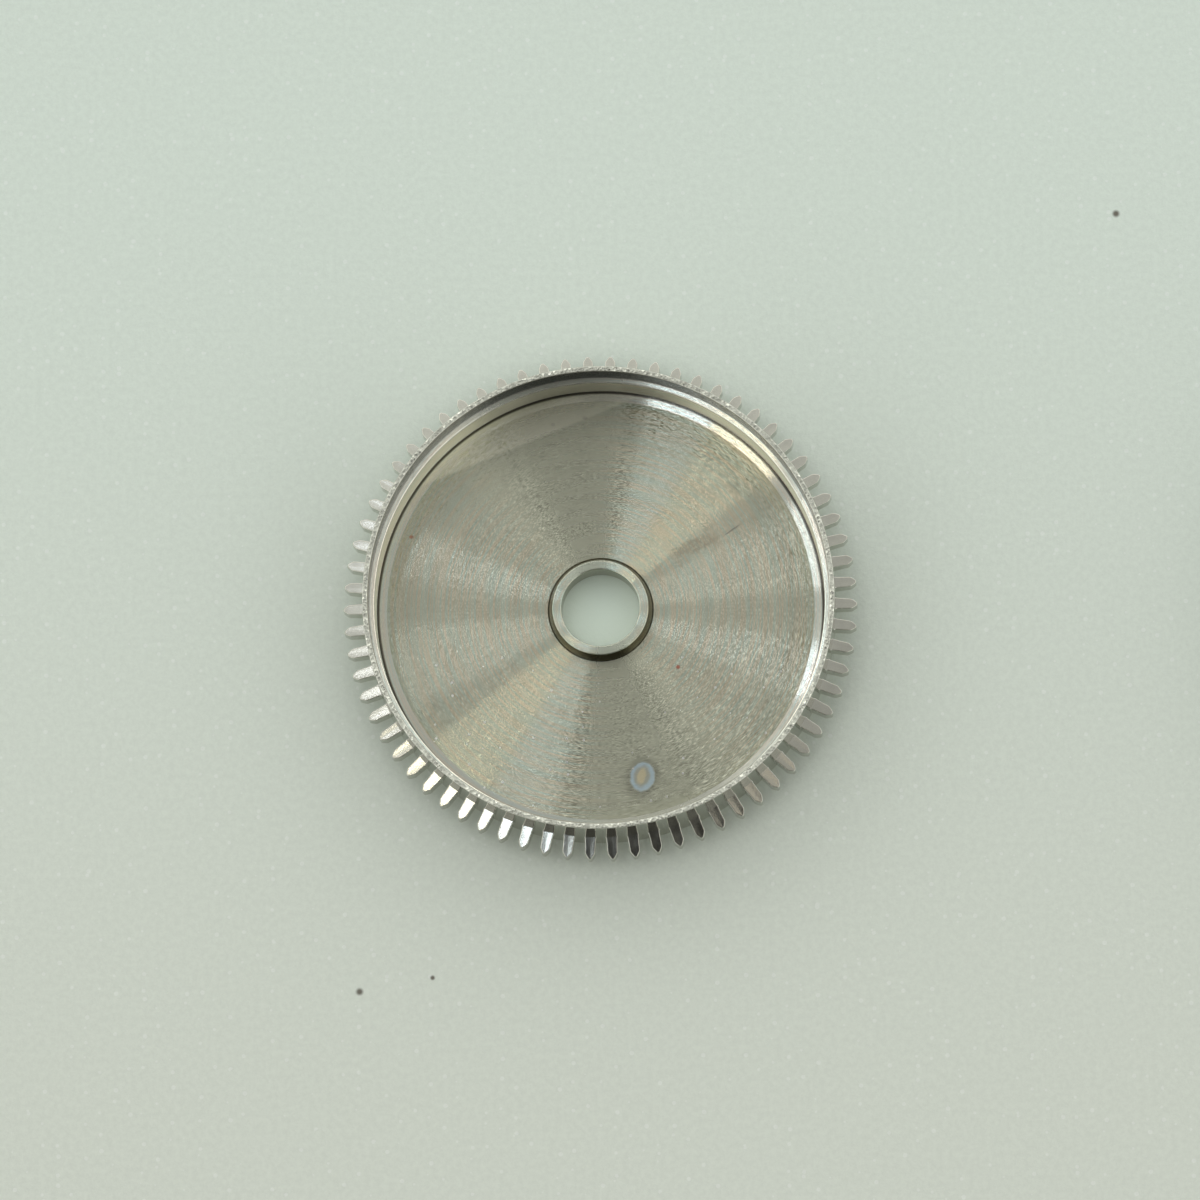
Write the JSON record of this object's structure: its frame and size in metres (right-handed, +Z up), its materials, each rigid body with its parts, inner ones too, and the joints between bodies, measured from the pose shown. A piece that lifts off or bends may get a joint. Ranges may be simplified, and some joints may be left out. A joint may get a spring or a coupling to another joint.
{
  "type": "mainspring barrel",
  "caption": "Toothed watch mainspring barrel standing open, with its cover, arbor and coiled spring laid beside it ready to close it.",
  "frame": {"origin": "on the drum's axis, at its underside", "axes": "+Z up along the drum's axis, towards its open side; +X from the drum to the parts laid beside it"},
  "size_m": [0.0324, 0.012, 0.0029],
  "materials": {
    "drum_steel": "circular satin floor and wall, polished teeth",
    "bush_steel": "fine turned",
    "cover_steel": "circular satin",
    "hub_bronze": "polished",
    "arbor_steel": "polished",
    "spring_steel": "bluish rolled strip"
  },
  "bodies": {
    "drum": {"drum": "drum_steel", "drum_bush": "bush_steel"},
    "cover": {"cover": "cover_steel", "cover_bush": "hub_bronze"},
    "spring": {"mainspring": "spring_steel", "bridle": "spring_steel"},
    "arbor": {"arbor": "arbor_steel", "arbor_core": "arbor_steel"}
  },
  "joints": [
    {"name": "turn_over", "type": "hinge", "parent": "drum", "child": "cover", "pos_m": [0.01053, 0, 0.00095], "axis": [0, -1, 0], "range_deg": [0, 180]},
    {"name": "bridle_slip", "type": "hinge", "parent": "cover", "child": "spring", "pos_m": [0.02106, 0, 0.00095], "axis": [0, 0, -1], "continuous": true},
    {"name": "arbor_turn", "type": "hinge", "parent": "spring", "child": "arbor", "pos_m": [0.02106, 0, 0.00095], "axis": [0, 0, -1], "range_deg": [0, 2520], "deforming": ["mainspring"]}
  ]
}
